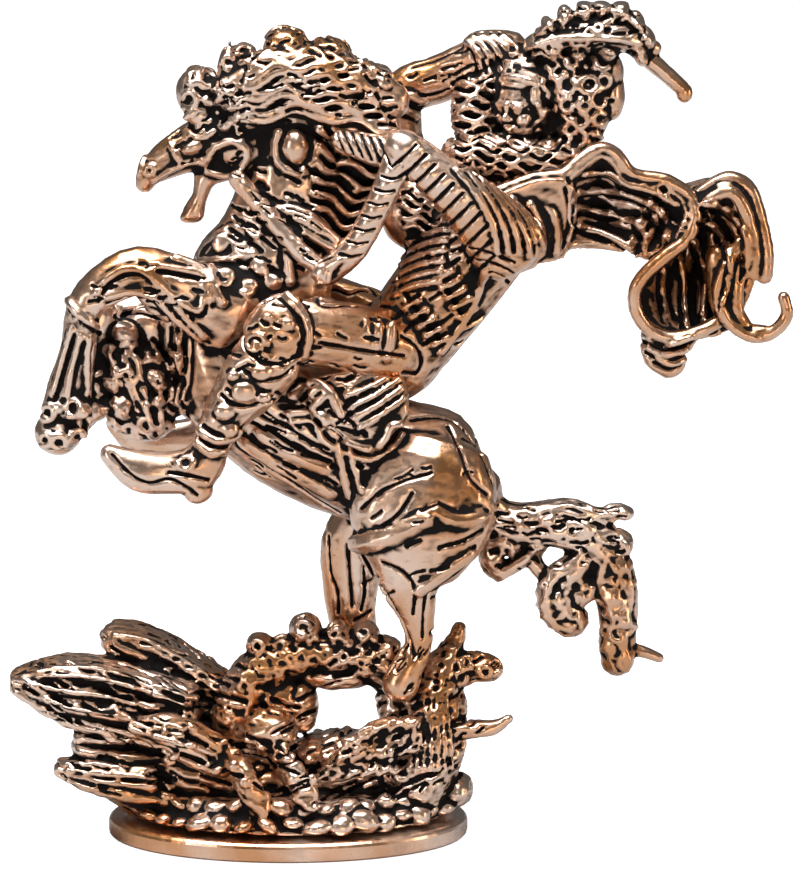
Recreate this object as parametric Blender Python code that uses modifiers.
"""Small cast figurine: an armoured rider on a rearing horse, over rockwork on an oval plinth.

The casting is one solid. It is drawn as lofts, lumps, locks of hair, cloth sheets and
strata, which are then fused into one closed skin. The plinth is a plate of its own.
"""
import math
import random

import bmesh
import bpy
from mathutils import Matrix, Vector

# Driving dimensions, in metres
FIGURE_HEIGHT = 0.0687       # the casting alone, from its foot to the top of the hat
PLINTH_LENGTH = 0.0302
PLINTH_DEPTH = 0.0210
PLINTH_THICKNESS = 0.0017
PLINTH_ROUND = 0.00045       # rounding of the plinth's two edges
SEAM = 0.0003                # open joint between the plinth and the casting
ROCK_INSET = 0.0007          # how far the rockwork's foot stays inside the plinth's edge
NUGGET_RADIUS = 0.00105      # pebbles that ring the foot
SKIN_CELL = 0.00036          # cell of the skin that fuses the casting
TRIANGLES = 9300             # faces left in the casting's skin

# The casting's free form is drawn in shares of its own height
DRAWN_HEIGHT = 68.7
SHARE = FIGURE_HEIGHT / DRAWN_HEIGHT
DRAWN_FOOT = 2.0             # the foot's level in the drawing, above the shelf
VIEW_DROP = math.radians(11.5)   # the drawing looks down on the figurine by this much
FOOT_LEVEL = PLINTH_THICKNESS + SEAM

SIDES = 12                   # corners of a loft's cross-section
SEED = 5

COLLECTION_NAME = "rider_figurine"


def seen(right, up, depth=0.0):
    """A place given as the drawing shows it: to the right, up the picture, and away from us."""
    height = (up - depth * math.sin(VIEW_DROP)) / math.cos(VIEW_DROP) - DRAWN_FOOT
    return Vector((right, depth, height)) * SHARE + Vector((0, 0, FOOT_LEVEL))


def through(stations, steps):
    """Rows of numbers on a smooth curve through the given rows, with some steps between them."""
    last = len(stations) - 1
    rows = []
    for index in range(last):
        four = [stations[max(index - 1, 0)], stations[index],
                stations[index + 1], stations[min(index + 2, last)]]
        for step in range(steps):
            t = step / steps
            rows.append([catmull(values, t) for values in zip(*four)])
    rows.append(list(stations[last]))
    return rows


def catmull(values, t):
    a, b, c, d = values
    bend = (2 * a - 5 * b + 4 * c - d) * t * t + (3 * b - a - 3 * c + d) * t ** 3
    return 0.5 * (2 * b + (c - a) * t + bend)


class Casting:
    """Gathers the closed forms that are fused into the casting."""

    def __init__(self):
        self.mesh = bmesh.new()
        self.mirroring = False

    def add(self, form):
        """Take in a finished form, and its mirror image where the far side has the same."""
        scratch = bpy.data.meshes.new("form")
        form.to_mesh(scratch)
        form.free()
        self.mesh.from_mesh(scratch)
        if self.mirroring:
            scratch.transform(Matrix.Scale(-1, 4, Vector((0, 1, 0))))
            scratch.flip_normals()
            self.mesh.from_mesh(scratch)
        bpy.data.meshes.remove(scratch)

    def loft(self, *stations, steps=3):
        """A limb: rounded rings along a path. A station is right, up, depth, then the ring's
        half width in the drawing's plane and its half width in depth."""
        rows = through(stations, steps)
        places = [seen(*row[:3]) for row in rows]
        form = bmesh.new()
        loops = []
        for index, row in enumerate(rows):
            ahead = places[min(index + 1, len(rows) - 1)] - places[max(index - 1, 0)]
            ahead.normalize()
            sections = [(0.0, 1.0)]
            if index == 0:
                sections = [(-0.85, 0.35), (-0.55, 0.78), (0.0, 1.0)]
            if index == len(rows) - 1:
                sections = [(0.0, 1.0), (0.55, 0.78), (0.85, 0.35)]
            half = min(row[3], row[4]) * SHARE
            for shift, swell in sections:
                middle = places[index] + ahead * half * shift
                loops.append(self.ring(form, middle, ahead, row[3] * swell, row[4] * swell))
        for first, second in zip(loops, loops[1:]):
            bmesh.ops.bridge_loops(form, edges=first + second)
        for loop in (loops[0], loops[-1]):
            bmesh.ops.holes_fill(form, edges=loop, sides=SIDES)
        bmesh.ops.recalc_face_normals(form, faces=form.faces)
        self.add(form)

    def ring(self, form, middle, ahead, half_flat, half_deep):
        """One elliptical ring square to the path. Its edges are returned."""
        across = Vector((0, 1, 0)).cross(ahead)
        if across.length < 0.2:
            across = Vector((0, 0, 1))
        across.normalize()
        deep = ahead.cross(across).normalized()
        frame = Matrix((across * half_flat * SHARE, deep * half_deep * SHARE, ahead)).transposed()
        made = bmesh.ops.create_circle(form, segments=SIDES, radius=1.0)
        bmesh.ops.transform(form, matrix=Matrix.Translation(middle) @ frame.to_4x4(),
                            verts=made["verts"])
        return list({edge for vert in made["verts"] for edge in vert.link_edges})

    def tube(self, thickness, *points, steps=3, tip=1.0):
        """A round limb of one thickness, or one that thins to a share of it at its tip."""
        last = len(points) - 1
        stations = []
        for index, point in enumerate(points):
            radius = thickness * (1 + (tip - 1) * index / last)
            stations.append((*point, radius, radius))
        self.loft(*stations, steps=steps)

    def lump(self, right, up, depth, half_wide, half_deep, half_tall, turn=0.0):
        """An egg, turned in the drawing's plane."""
        form = bmesh.new()
        bmesh.ops.create_icosphere(form, subdivisions=2, radius=SHARE)
        size = Matrix.Diagonal((half_wide, half_deep, half_tall, 1))
        turned = Matrix.Rotation(math.radians(turn), 4, Vector((0, 1, 0)))
        place = Matrix.Translation(seen(right, up, depth))
        bmesh.ops.transform(form, matrix=place @ turned @ size, verts=form.verts)
        self.add(form)

    def lock(self, start, end, arch, ripple, thickness, waves=2.0, phase=0.0, tip=0.45):
        """A wavy lock of hair or fur from one place to another."""
        count = 9
        points = []
        for index in range(count):
            t = index / (count - 1)
            place = [a + (b - a) * t for a, b in zip(start, end)]
            wave = math.sin(math.tau * waves * t + phase) * ripple
            place[1] += arch * math.sin(math.pi * t) + wave
            place[2] += 0.5 * ripple * math.cos(math.tau * waves * t + phase)
            points.append(place)
        self.tube(thickness, *points, steps=2, tip=tip)

    def curl(self, right, up, depth, radius, thickness, start=0.0, turns=0.85):
        """A lock that rolls up into an open ring."""
        count = 9
        points = []
        for index in range(count):
            t = index / (count - 1)
            angle = math.radians(start) + math.tau * turns * t
            reach = radius * (1 - 0.35 * t)
            points.append((right + reach * math.cos(angle), up + reach * math.sin(angle), depth))
        self.tube(thickness, *points, steps=2, tip=0.7)

    def sheet(self, top, bottom, bulge, thickness, columns=16, rows=8):
        """Cloth hung between two edges, which swells away from us by the bulge."""
        upper = through(top, columns)
        lower = through(bottom, columns)
        form = bmesh.new()
        made = bmesh.ops.create_grid(form, x_segments=columns, y_segments=rows, size=0.5)
        for vert in made["verts"]:
            along = vert.co.x + 0.5
            down = vert.co.y + 0.5
            a = upper[round(along * (len(upper) - 1))]
            b = lower[round(along * (len(lower) - 1))]
            place = [p + (q - p) * down for p, q in zip(a, b)]
            place[2] += bulge * math.sin(math.pi * down) * math.sin(math.pi * along) ** 0.5
            vert.co = seen(*place)
        bmesh.ops.recalc_face_normals(form, faces=form.faces)
        bmesh.ops.solidify(form, geom=form.faces[:], thickness=thickness * SHARE)
        bmesh.ops.recalc_face_normals(form, faces=form.faces)
        self.add(form)

    def strata(self, spine, layers, spread, thickness, seed):
        """Striated rock: thin sticks laid side by side along a spine. A spine's station is
        right, up, depth, then how far the sticks fan out there."""
        chance = random.Random(seed)
        for layer in range(layers):
            side = 2 * layer / (layers - 1) - 1
            stations = []
            for right, up, depth, fan in spine:
                drift = chance.uniform(-0.2, 0.2)
                girth = thickness * (0.55 + 0.45 * fan / spine[-1][3])
                stations.append((right + drift, up + side * fan, depth + drift * 2,
                                 girth, girth * spread))
            self.loft(*stations, steps=2)


def horse(cast):
    """The rearing horse, its head to the left with the mouth open."""
    cast.loft((15.0, 28.4, 0, 3.3, 3.6), (12.2, 29.7, 0, 6.0, 5.0), (8, 31.3, 0, 5.7, 4.9),
              (4, 33.0, 0, 6.0, 5.1), (0, 35.2, 0, 6.0, 5.2), (-4, 38.6, 0, 5.6, 4.9),
              (-6.0, 42, 0, 4.2, 3.9))
    cast.loft((-3.5, 41, 0, 6.0, 4.6), (-2.2, 45.5, 0, 6.0, 4.0), (-0.4, 50.8, 0, 4.8, 3.2),
              (0.3, 55.5, 0, 3.9, 2.7), (-0.6, 59.5, 0, 3.2, 2.4))
    cast.loft((-0.5, 59.6, 0, 2.6, 2.2), (-3.5, 59.0, 0, 2.9, 2.3), (-6.5, 57.8, 0, 2.3, 1.9),
              (-9.2, 56.4, 0, 2.0, 1.5), (-11.1, 55.2, 0, 1.3, 1.2), (-11.8, 54.3, 0, 0.8, 0.9))
    cast.loft((-4.6, 56.4, 0, 1.9, 1.5), (-6.5, 55.2, 0, 1.2, 1.1), (-7.1, 53.4, 0, 0.7, 0.9),
              (-7.7, 51.9, 0, 0.9, 0.95))
    for side in (-1.9, 1.9):
        cast.lump(-6.6, 59.4 + side * 0.2, side * 0.9, 1.0, 0.6, 0.7, 20)
        cast.lump(-3.4, 57.6 + side * 0.2, side, 2.0, 0.8, 1.9, -20)
        cast.tube(0.8, (-4.4, 61.8, side * 0.7), (-4.9, 63.8, side * 0.7),
                  (-4.6, 65.3, side * 0.7), tip=0.45)
    hind_legs(cast)
    forelegs(cast)
    mane(cast)
    tail(cast)


def hind_legs(cast):
    cast.loft((12.2, 31.2, -2.6, 5.4, 3.0), (11.4, 28, -3.6, 6.2, 3.0), (10.9, 25, -4, 5.6, 2.8),
              (10.6, 22.9, -4, 4.3, 2.3), (10.3, 20.9, -4, 2.6, 1.8), (10.8, 18.6, -3.8, 1.6, 1.4),
              (11.0, 16.4, -3.7, 1.15, 1.1), (10.6, 14.8, -3.6, 1.15, 1.1))
    cast.lump(9.7, 13.3, -3.8, 1.9, 1.6, 1.3, 15)
    cast.loft((9, 27.4, 2.2, 4.0, 2.6), (5.9, 24.6, 3.2, 3.1, 2.2), (5.3, 21.6, 3.3, 2.5, 1.8),
              (5.3, 18.8, 3.3, 2.1, 1.6), (5.8, 16, 3.3, 1.8, 1.6))
    cast.tube(0.75, (12.2, 21, -1), (12.7, 18.4, -1), (13.4, 15.6, -1))


def forelegs(cast):
    """The near foreleg is lifted and hangs from the knee, the far one is folded behind it."""
    cast.loft((-4.5, 43.6, -3, 3.6, 2.6), (-8.6, 45.3, -4, 2.9, 2.0), (-12.2, 46.9, -4.2, 2.2, 1.7),
              (-15.4, 45.4, -4.2, 1.75, 1.6), (-16.7, 43.6, -4.2, 1.5, 1.5),
              (-17.1, 40.8, -4, 1.5, 1.3), (-17.8, 37.9, -3.8, 1.8, 1.3),
              (-18.2, 35.6, -3.6, 2.1, 1.5))
    cast.lump(-18.9, 33.7, -3.6, 2.0, 1.6, 1.9)
    cast.curl(-19.4, 34.4, -4.8, 1.2, 0.55, 120)
    cast.curl(-17.2, 34.2, -4.8, 1.1, 0.55, 60)
    cast.loft((-4.5, 43, 2.5, 3.2, 2.4), (-9.5, 44.4, 3, 2.2, 1.8), (-13.6, 43.6, 2.4, 1.7, 1.5),
              (-13.2, 41.0, 1.4, 1.4, 1.3), (-11.6, 38, 0.6, 1.5, 1.4), (-11.8, 35.4, 0, 1.9, 1.7))
    chance = random.Random(SEED)
    for row in range(4):
        for column in range(4):
            right = -14.6 + 1.9 * column + chance.uniform(-0.3, 0.3)
            up = 39.6 - 1.75 * row + chance.uniform(-0.3, 0.3)
            start = chance.uniform(0, 360)
            cast.lump(right, up, -0.6, 1.5, 2.2, 1.4)
            cast.curl(right, up, -2.3, 0.9, 0.42, start)


def mane(cast):
    """Wavy locks that stream back from the crest, in three layers of depth."""
    for index, depth in enumerate((-2.4, 0.0, 2.4)):
        slip = 0.9 * index
        cast.lock((-4.4, 62.0, depth), (9.4 - slip, 61.6, depth), 2.6, 0.45, 1.35, 2.5, slip)
        cast.lock((-4.2, 60.6, depth), (9.2 - slip, 60.2, depth), 1.5, 0.45, 1.25, 2.5, slip + 2)
        cast.lock((-3.6, 59.4, depth), (6.8 - slip, 58.2, depth), 1.0, 0.4, 1.1, 2.0, slip + 4)
        cast.lock((-3.6, 63.2, depth * 0.7), (5.4, 64.4, depth * 0.7), 1.4, 0.4, 1.2, 2.0, slip)
        cast.lock((3.2, 58.2, depth), (8.4, 53.6, depth), 0.6, 0.4, 1.2, 1.5, slip)
        cast.lock((2.4, 56.0, depth), (6.6, 50.6, depth), 0.6, 0.4, 1.2, 1.5, slip + 2)
    cast.lump(-7.2, 61.8, 0, 1.9, 1.8, 2.1)
    cast.lump(6.2, 57.6, 0.8, 3.2, 2.2, 3.4)
    cast.lump(5.2, 52.4, 0.8, 3.0, 2.0, 3.6, -15)
    cast.curl(-7.2, 61.4, -1.6, 1.4, 0.55, 200)
    cast.lump(0.0, 66.0, 0, 1.4, 1.8, 1.2)
    cast.lump(3.6, 65.2, 0, 1.6, 1.8, 1.1)
    cast.lump(-3.8, 64.8, 0, 1.3, 1.6, 1.0)
    cast.lump(0.8, 57.2, -2.6, 1.15, 0.8, 1.5)


def tail(cast):
    cast.loft((16.2, 27.0, 0, 1.7, 1.6), (19, 26, 0, 1.9, 1.6), (22, 26, 0, 2.0, 1.6),
              (25, 25, 0, 2.0, 1.5), (26.9, 22.6, 0, 2.0, 1.4), (27.6, 19.6, 0, 1.9, 1.4),
              (27.7, 16.6, 0, 1.6, 1.4), (27.6, 14.4, 0, 1.4, 1.2))
    cast.lock((19, 26.8, -0.6), (28.1, 27.2, -0.6), 0.4, 0.35, 0.9, 1.5, 0.6, 0.6)
    cast.lock((22, 25.4, -1.0), (28.5, 24.7, -0.6), 0.3, 0.3, 0.9, 1.2, 2.6, 0.6)
    cast.tube(1.5, (25.0, 23.4, 0), (23.2, 21.4, 0), (22.8, 19.4, 0), (23.7, 17.9, 0))
    cast.tube(0.8, (22.6, 22.4, -0.6), (21.6, 20.4, -0.8), (22.0, 18.4, -0.8), (23.6, 17.3, -0.6))
    cast.tube(0.75, (19.8, 25.6, 0), (17.3, 24.6, 0), (16.7, 23.1, 0), (17.6, 22.1, 0),
              (19.2, 22.8, 0), (20.8, 23.8, 0))
    cast.tube(0.75, (20.4, 24.0, 0), (20.8, 22.6, 0), (21.8, 21.6, 0))
    cast.tube(0.75, (27.9, 15.6, 0), (29.6, 15.4, 0), (31.2, 14.8, 0), tip=0.6)
    for step in range(4):
        cast.curl(27.4 + 0.2 * step, 22.4 - 2.3 * step, -1.2, 1.2, 0.5, 70 * step)


def rider(cast):
    """The armoured rider leans back, one hand at the rein and the other over the head."""
    cast.loft((8.6, 39.8, 0, 3.9, 4.0), (11.2, 43.2, 0, 4.1, 4.2), (14.4, 47.4, 0, 4.3, 4.6),
              (17.2, 51.2, 0, 4.1, 4.8), (18.4, 54, 0, 2.8, 3.6), (18.8, 56.2, 0, 2.0, 2.2))
    for band in range(7):
        right, up = 9.8 + 1.15 * band, 41.6 + 1.5 * band
        cast.loft((right - 2.9, up + 2.2, -2.6, 0.42, 0.7), (right, up + 0.4, -4.2, 0.42, 0.7),
                  (right + 2.9, up - 1.4, -2.8, 0.42, 0.7))
    cast.lump(10.4, 52.0, 1.4, 2.6, 2.4, 3.2)
    near_arm(cast)
    raised_arm(cast)
    head(cast)
    cast.mirroring = True
    leg(cast)
    cast.mirroring = False


def leg(cast):
    """Thigh guard, knee guard, greave and boot of the near leg, the far one is the same."""
    cast.loft((8.6, 40.6, -2.5, 3.4, 3.0), (5, 41.6, -5, 2.9, 2.4), (1.5, 42.0, -6.2, 2.8, 2.2),
              (-0.8, 41.4, -6.5, 2.8, 2.2))
    cast.lump(-0.6, 41.5, -6.7, 3.0, 2.2, 3.8, 20)
    cast.loft((-1.2, 40, -6.8, 2.9, 2.2), (-3.1, 37.6, -6.8, 2.7, 2.0), (-4.8, 35.4, -6.6, 2.0, 1.7),
              (-5.9, 33.2, -6.4, 1.6, 1.5))
    cast.loft((-6.1, 32.6, -6.4, 1.5, 1.4), (-7.3, 30.8, -6.4, 2.0, 1.5), (-9.6, 30.4, -6.4, 1.8, 1.5),
              (-12.2, 30.6, -6.4, 1.8, 1.4), (-14.5, 31.9, -6.4, 0.9, 0.9))
    cast.lump(-7.3, 29.0, -6.4, 1.4, 1.2, 1.3)
    for band in range(2):
        cast.lump(-5.4 - 0.3 * band, 33.6 - 0.9 * band, -6.5, 1.9, 1.7, 0.55, 15)
    for plate in range(6):
        right = 3.3 + 1.05 * plate
        cast.lump(right, 41.9 - 0.12 * plate, -7.2 + 0.25 * plate, 0.6, 0.6, 1.3 + 0.12 * plate)
    for line in range(2):
        up = 43.6 + 0.9 * line
        cast.tube(0.4, (2.4, up, -7.0), (5.5, up + 0.1, -6.9), (8.4, up - 0.2, -5.4))


def near_arm(cast):
    cast.loft((18.6, 49.0, -4.6, 3.4, 2.2), (15.6, 52.2, -5.6, 2.5, 2.1), (12.6, 54.8, -6, 1.8, 1.7),
              (9.8, 56.9, -6, 1.4, 1.4))
    for band in range(6):
        right, up = 17.4 - 1.3 * band, 48.6 + 1.3 * band
        reach = 2.2 - 0.22 * band
        cast.loft((right + 1.0, up + reach, -6.4, 0.45, 0.5), (right, up, -7.4 + 0.1 * band, 0.5, 0.5),
                  (right - 0.9, up - 0.6 * reach, -6.4, 0.4, 0.5))
    cast.loft((9.6, 56.6, -6, 1.4, 1.3), (7.8, 52.6, -6, 1.15, 1.1), (5.7, 48.8, -5.4, 1.1, 1.1),
              (3.8, 47.2, -4.6, 1.3, 1.2))
    cast.lump(3.4, 46.9, -4.6, 1.6, 1.3, 1.2)
    cast.loft((9.2, 56.4, -4, 1.3, 1.4), (7, 57.0, -3.8, 1.3, 1.3), (4.6, 57.8, -3.4, 0.9, 1.0))


def raised_arm(cast):
    """The far arm: its elbow is behind the near one, its forearm crosses to the hat."""
    cast.loft((14.5, 53.5, 3.6, 2.4, 2.2), (10.4, 56.6, 5, 1.8, 1.8), (9.4, 59.6, 5, 1.7, 1.7),
              (9.7, 62.2, 4.6, 1.8, 1.7), (13, 63.3, 4, 1.6, 1.6), (16, 64.8, 3.2, 1.7, 1.6),
              (18.6, 65.2, 2.6, 1.8, 1.6))
    cast.lump(19.6, 64.2, 1.6, 1.7, 1.5, 1.8)
    for finger in range(5):
        right = 15.4 + 0.95 * finger
        cast.tube(0.45, (right - 0.6, 66.8, 1.6), (right, 65.8, 0.9), (right + 0.5, 64.4, 1.0))


def head(cast):
    """The rider's head, curled hair and flat hat."""
    cast.lump(19.5, 60.9, -0.4, 2.4, 2.3, 3.1, 12)
    cast.lump(18.1, 60.9, -1.0, 0.55, 0.5, 0.8, 20)
    cast.lump(18.9, 58.5, -0.9, 1.0, 1.0, 0.7)
    cast.lump(15.6, 60.0, 0.8, 2.2, 2.2, 3.4, -8)
    cast.loft((13.6, 56.8, -1.5, 0.9, 2.6), (15.6, 57.0, -1.4, 1.5, 3.2), (18, 56.6, -1, 1.8, 3.4),
              (21.5, 56.6, -0.6, 1.4, 3.0), (23.6, 57.0, -0.4, 0.9, 2.2))
    cast.loft((23.2, 63.4, 0, 2.4, 2.2), (24.6, 61.2, 0, 2.9, 2.7), (24.4, 58.8, 0, 2.0, 2.2))
    chance = random.Random(SEED + 1)
    for row in range(4):
        for column in range(4):
            right = 22.0 + 1.55 * column - 0.25 * row
            up = 63.8 - 1.75 * row
            depth = -2.2 + 0.35 * column
            cast.curl(right, up, depth, 0.85, 0.42, chance.uniform(0, 360))
    cast.loft((20.6, 65.9, 0, 0.7, 1.6), (23, 66.9, 0, 1.2, 2.4), (25.4, 67.5, 0, 1.7, 2.8),
              (27.8, 67.2, 0, 1.8, 2.6), (29.3, 66.2, 0, 1.1, 1.6))
    cast.tube(0.85, (28.6, 65.6, 0), (31, 63.6, 0), (32.8, 62.0, 0))


def harness(cast):
    """Rein, breast strap with its bosses, saddle cloth and girth."""
    cast.tube(0.85, (-4.0, 54.6, -2.6), (-1.4, 51.6, -3.4), (1.2, 48.6, -4.0), (3.2, 47, -4.4))
    cast.loft((-0.4, 52.2, -2.6, 0.5, 0.8), (2.2, 50.9, -3.2, 0.9, 0.8), (4.2, 49.6, -3.6, 0.5, 0.7))
    cast.mirroring = True
    for right, up, size in ((-4.6, 49.0, 1.9), (-2.4, 47.0, 1.3), (-5.6, 46.4, 1.3), (-0.4, 48.2, 1.1)):
        cast.lump(right, up, -3.6, size, 0.9, size * 0.75)
    cloth_top = ((2.0, 38.0, -4.9), (5.0, 38.6, -4.9), (9.6, 38.0, -4.2))
    cloth_bottom = ((3.2, 34.8, -5.3), (6.8, 32.6, -5.2), (9.6, 34.8, -4.9))
    cast.sheet(cloth_top, cloth_bottom, -0.6, 0.8, columns=10, rows=6)
    cast.tube(0.5, (3.0, 35.2, -5.6), (4.2, 33.4, -5.6), (6.9, 32.4, -5.4), (8.2, 33.2, -5.3),
              (9.6, 34.8, -5.0))
    cast.tube(0.45, (4.0, 33.0, -5.2), (4.4, 30.6, -4.9), (5.0, 28.4, -3.8))
    cast.mirroring = False
    for strip in range(3):
        cast.tube(0.6, (-2.4 + strip, 33.4 - strip, -4.6), (0.6 + strip, 31.6 - 0.9 * strip, -4.4),
                  (3.2 + 0.4 * strip, 30.2 - 0.9 * strip, -4.2))


def cloak(cast):
    """The cloak blown out behind: two lobes with rolled edges, a scroll and a folded end."""
    long_edge = ((16.6, 53.2, -4), (20.2, 54.6, -3.6), (22.8, 54.9, -3.2), (24.2, 56.1, -2.8),
                 (25.8, 57.1, -2.4), (27.2, 56.6, -2.2), (28.6, 55.0, -2), (31.4, 54.5, -1.8),
                 (33.2, 53.3, -1.8), (33.8, 51.6, -2), (33.0, 49.6, -2.2), (30.8, 47.9, -2.4),
                 (29.0, 45.9, -2.4), (28.9, 43.9, -2.2), (30.0, 42.3, -2), (31.8, 41.6, -1.8),
                 (34.2, 42.1, -1.6), (35.8, 42.9, -1.2))
    cast.tube(0.62, *long_edge, steps=3)
    cast.tube(0.62, (34.2, 53.4, -1), (35.5, 54.3, -1), (36.9, 54.6, -1), (38.3, 53.7, -1),
              (39.2, 51, -1), (39.7, 48.5, -1), (39.6, 46.6, -1))
    cast.tube(0.62, (37.2, 46.4, -0.6), (37.4, 43.8, -1), (37.8, 42.2, -1), (39.2, 41.6, -1),
              (40.7, 42.2, -1), (41.6, 43.6, -1), (41.3, 44.9, -1), tip=0.8)
    cast.sheet(long_edge[2:8], ((22.6, 48.6, -1), (25, 48.9, 0), (28.8, 48.4, 0)), 4.0, 0.9)
    cast.sheet(long_edge[7:10], ((28.8, 48.4, 0), (30.4, 47.9, -1), (32.8, 49.4, -2)), 2.5, 0.9, 12, 8)
    cast.sheet(((33.2, 49.6, -1.5), (31.0, 47.6, -1.8), (29.2, 45.6, -2), (29.2, 43.8, -2),
                (31.9, 41.8, -1.6)),
               ((35.6, 53.9, -0.5), (37.6, 52, -0.5), (38.8, 49, -0.5), (38.2, 46, -0.5),
                (36.6, 42.6, -0.8)), 4.5, 0.9)
    cast.sheet(long_edge[0:3], ((18.2, 49.2, -2), (20.6, 48.2, -1.6), (22.6, 48.6, -1)), -0.5, 1.2)
    cast.loft((33.4, 53.2, 1, 1.2, 2.2), (35.6, 53.6, 1.2, 1.2, 2.4), (37.6, 52.6, 1.2, 0.9, 2.2))
    cast.tube(0.5, (19.2, 53.0, -3.6), (21.4, 52.3, -3.6), (22.2, 50.8, -3.2), (22.4, 48.6, -2.4))
    for fold in range(4):
        drop = 1.25 * fold
        pull = 0.9 * fold
        cast.tube(0.5, (23.8, 53.6 - 0.9 * drop, 0.4), (27.2, 53.5 - drop, 0.8),
                  (30.6 - pull, 52.2 - drop, 0.6), (31.4 - pull, 50.6 - 0.7 * drop, -0.6))
    for fold in range(4):
        cast.tube(0.45, (31.0 + 1.7 * fold, 48.6 + 0.5 * fold, 1.6), (30.8 + 1.6 * fold, 46.4, 1.8),
                  (32.2 + 1.1 * fold, 43.6, 0.6))
    cast.loft((31.8, 42.0, 0, 2.4, 1.2), (31.4, 40.4, 0, 2.0, 1.1), (32.0, 39.2, 0, 1.3, 1.0))


def rockwork(cast):
    """Slabs that point left, an arch of craggy rock under the hooves, and ferny strata."""
    cast.strata(((-22.6, 13.0, -1.5, 0.5), (-18.5, 12.2, -1.5, 2.0), (-14, 11.4, -1.5, 2.2),
                 (-8, 9.6, -1.5, 2.2)), 4, 3.2, 1.0, 3)
    cast.strata(((-15.0, 16.6, 2, 0.5), (-12, 15.4, 2, 1.2), (-8, 12.9, 2, 1.4),
                 (-4.2, 10.2, 2, 1.4)), 3, 2.6, 1.0, 4)
    cast.strata(((-12.0, 9.3, -5, 0.3), (-9, 8.3, -5.2, 0.8), (-5.4, 7.0, -5.4, 0.8)), 3, 1.6, 0.6, 6)
    cast.strata(((-18.9, 5.7, -3, 0.3), (-15.6, 5.0, -3.4, 0.9), (-11, 4.4, -3.6, 1.0)), 3, 3.0, 0.7, 7)
    cast.strata(((-17.4, 7.9, -2, 0.5), (-13, 7.7, -2, 0.9), (-8, 7.2, -2, 1.0)), 2, 3.0, 0.9, 8)
    for right, up in ((-3.2, 4.6), (0.8, 5.0)):
        cast.strata(((right - 1.5, up + 2.2, -6.8, 0.5), (right, up, -8.0, 0.8),
                     (right + 1.4, up - 1.8, -8.6, 0.5)), 3, 1.0, 0.6, 9)
    cast.lump(-1.3, 8.9, -5.0, 2.3, 2.2, 1.9)
    cast.lump(-0.9, 11.4, -0.6, 2.2, 2.4, 2.8)
    cast.lump(3.0, 7.2, -0.6, 2.6, 3.6, 1.3)
    cast.loft((-4.4, 9.6, -1, 2.2, 2.4), (-3.2, 13.0, -1, 2.0, 2.2), (0, 14.9, -0.5, 1.9, 2.2),
              (3.4, 15.2, 0, 1.9, 2.6), (6.8, 14.9, 0, 2.1, 2.8), (9.6, 12.8, 0, 2.1, 2.8),
              (10.6, 10, 0, 2.6, 3.2))
    for right, up, size in ((-2.3, 15.9, 1.3), (-0.4, 15.9, 1.1), (1.5, 17.3, 1.5), (4.2, 17.0, 1.2),
                            (6.6, 17.0, 1.2), (8.4, 15.6, 1.3)):
        cast.lump(right, up, -1.0, size, size * 1.3, size)
    for up in (7.4, 5.6):
        cast.strata(((up - 2.8, up - 0.6, -5.6, 0.4), (up - 0.2, up + 0.8, -5.6, 0.9),
                     (up + 3.2, up + 1.2, -5, 1.0)), 3, 1.4, 0.6, 10)
    cast.loft((10.6, 4.6, -1, 3.2, 5.0), (12.4, 7.6, -1, 2.6, 4.2), (12.2, 10.6, -0.6, 2.9, 3.6),
              (12.8, 13.4, -0.4, 2.0, 2.4), (13.8, 15.6, -0.2, 1.0, 1.2), (14.4, 17.3, 0, 0.6, 0.7))
    cast.loft((12, 8.9, -3, 1.1, 1.4), (15, 8.9, -3, 0.85, 1.1), (17.2, 9.1, -3, 0.6, 0.8),
              (18.5, 9.8, -3, 0.4, 0.5))
    cast.loft((13.2, 13.2, -0.5, 1.6, 1.6), (15.4, 14.1, -0.5, 1.4, 1.5), (17.0, 13.9, -0.5, 1.2, 1.3))
    cast.lump(14.2, 3.8, -1, 1.4, 2.4, 1.5)
    cast.lump(-7.5, 6.2, 0.5, 7.0, 5.6, 3.6, 15)
    cast.lump(2.0, 5.2, 1.5, 9.0, 5.6, 2.6)
    cast.lump(-11, 4.4, 0, 5.0, 5.0, 2.6)


def foot(cast):
    """The rockwork's foot and the pebbles that ring it. Both follow the plinth's size."""
    half_long = PLINTH_LENGTH / 2 - ROCK_INSET
    half_deep = PLINTH_DEPTH / 2 - ROCK_INSET
    height = 2.4 * SHARE
    form = bmesh.new()
    bmesh.ops.create_cone(form, cap_ends=True, segments=48, radius1=1.0, radius2=0.9, depth=2 * height)
    size = Matrix.Diagonal((half_long - NUGGET_RADIUS, half_deep - NUGGET_RADIUS, 1, 1))
    bmesh.ops.transform(form, matrix=Matrix.Translation((0, 0, FOOT_LEVEL)) @ size, verts=form.verts)
    cast.add(form)
    chance = random.Random(SEED + 2)
    around = math.pi * (half_long + half_deep)
    for row in range(2):
        reach = NUGGET_RADIUS * (1 + 0.9 * row)
        count = round(around / (1.75 * NUGGET_RADIUS))
        for index in range(count):
            angle = math.tau * (index + 0.5 * row) / count
            radius = NUGGET_RADIUS * chance.uniform(0.8, 1.15)
            level = FOOT_LEVEL + NUGGET_RADIUS * (0.7 + 1.2 * row) + chance.uniform(0, 0.3) * SHARE
            place = Vector(((half_long - reach) * math.cos(angle),
                            (half_deep - reach) * math.sin(angle), level))
            form = bmesh.new()
            bmesh.ops.create_icosphere(form, subdivisions=2, radius=radius)
            bmesh.ops.translate(form, verts=form.verts, vec=place)
            cast.add(form)


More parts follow.
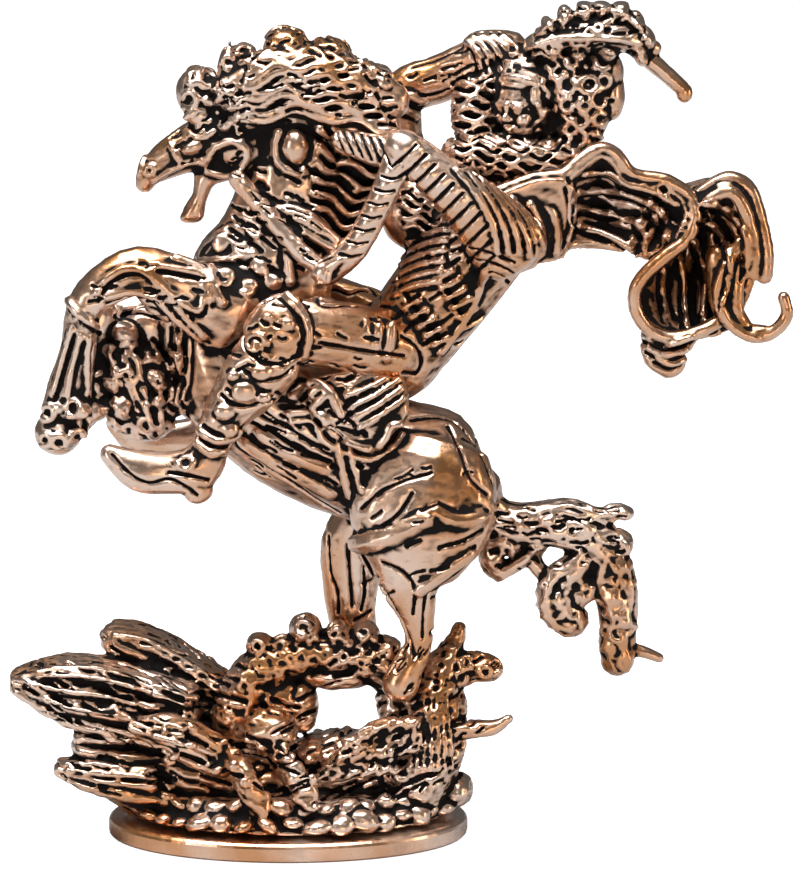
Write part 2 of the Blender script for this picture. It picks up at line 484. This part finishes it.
def fused_skin(source):
    """One closed skin around all the forms, cut flat at the foot."""
    mesh = bpy.data.meshes.new("forms")
    source.to_mesh(mesh)
    source.free()
    forms = bpy.data.objects.new("forms", mesh)
    bpy.context.scene.collection.objects.link(forms)
    remesh = forms.modifiers.new("fuse", "REMESH")
    remesh.mode = "VOXEL"
    remesh.voxel_size = SKIN_CELL
    smooth = forms.modifiers.new("smooth", "SMOOTH")
    smooth.factor = 0.5
    smooth.iterations = 2
    skin = largest_body(evaluated_mesh(forms))
    forms.modifiers.clear()
    old = forms.data
    forms.data = skin
    bpy.data.meshes.remove(old)
    thin = forms.modifiers.new("thin", "DECIMATE")
    skin.calc_loop_triangles()
    thin.ratio = TRIANGLES / len(skin.loop_triangles)
    thin.use_collapse_triangulate = True
    thinned = evaluated_mesh(forms)
    bpy.data.objects.remove(forms)
    return cut_flat(thinned)


def evaluated_mesh(thing):
    graph = bpy.context.evaluated_depsgraph_get()
    return bpy.data.meshes.new_from_object(thing.evaluated_get(graph))


def largest_body(mesh):
    """Drop small loose shells, so that the casting is one body."""
    work = bmesh.new()
    work.from_mesh(mesh)
    seen_verts = set()
    bodies = []
    for start in work.verts:
        if start in seen_verts:
            continue
        body = {start}
        front = [start]
        while front:
            vert = front.pop()
            for edge in vert.link_edges:
                other = edge.other_vert(vert)
                if other not in body:
                    body.add(other)
                    front.append(other)
        seen_verts |= body
        bodies.append(body)
    keep = max(bodies, key=len)
    bmesh.ops.delete(work, geom=[vert for vert in work.verts if vert not in keep], context="VERTS")
    work.to_mesh(mesh)
    work.free()
    return mesh


def cut_flat(mesh):
    work = bmesh.new()
    work.from_mesh(mesh)
    bmesh.ops.bisect_plane(work, geom=work.verts[:] + work.edges[:] + work.faces[:],
                           plane_co=(0, 0, FOOT_LEVEL), plane_no=(0, 0, 1), clear_inner=True)
    rim = [edge for edge in work.edges if edge.is_boundary]
    bmesh.ops.triangle_fill(work, edges=rim, use_beauty=True)
    bmesh.ops.recalc_face_normals(work, faces=work.faces)
    bmesh.ops.triangulate(work, faces=work.faces)
    work.to_mesh(mesh)
    work.free()
    return mesh


def copper(name, colour, roughness):
    material = bpy.data.materials.new(name)
    material.use_nodes = True
    shader = material.node_tree.nodes["Principled BSDF"]
    shader.inputs["Base Color"].default_value = (*colour, 1)
    shader.inputs["Metallic"].default_value = 1.0
    shader.inputs["Roughness"].default_value = roughness
    return material


def placed(name, mesh, material, collection):
    thing = bpy.data.objects.new(name, mesh)
    collection.objects.link(thing)
    mesh.materials.clear()
    mesh.materials.append(material)
    return thing


def make_figure(collection):
    cast = Casting()
    horse(cast)
    rider(cast)
    harness(cast)
    cloak(cast)
    rockwork(cast)
    foot(cast)
    placed("figure", fused_skin(cast.mesh), copper("patinated_brass", (0.78, 0.42, 0.22), 0.32),
           collection)


def make_plinth(collection):
    """The oval plate, with both edges rounded."""
    form = bmesh.new()
    bmesh.ops.create_cone(form, cap_ends=True, segments=64, radius1=1.0, radius2=1.0,
                          depth=PLINTH_THICKNESS)
    size = Matrix.Diagonal((PLINTH_LENGTH / 2, PLINTH_DEPTH / 2, 1, 1))
    place = Matrix.Translation((0, 0, PLINTH_THICKNESS / 2))
    bmesh.ops.transform(form, matrix=place @ size, verts=form.verts)
    mesh = bpy.data.meshes.new("plinth")
    form.to_mesh(mesh)
    form.free()
    plate = placed("plinth", mesh, copper("polished_brass", (0.85, 0.48, 0.27), 0.25), collection)
    rounding = plate.modifiers.new("rounding", "BEVEL")
    rounding.width = PLINTH_ROUND
    rounding.segments = 3
    rounding.limit_method = "ANGLE"
    rounding.angle_limit = math.radians(60)


def main():
    for thing in list(bpy.data.objects):
        bpy.data.objects.remove(thing)
    collection = bpy.data.collections.new(COLLECTION_NAME)
    bpy.context.scene.collection.children.link(collection)
    make_plinth(collection)
    make_figure(collection)


main()
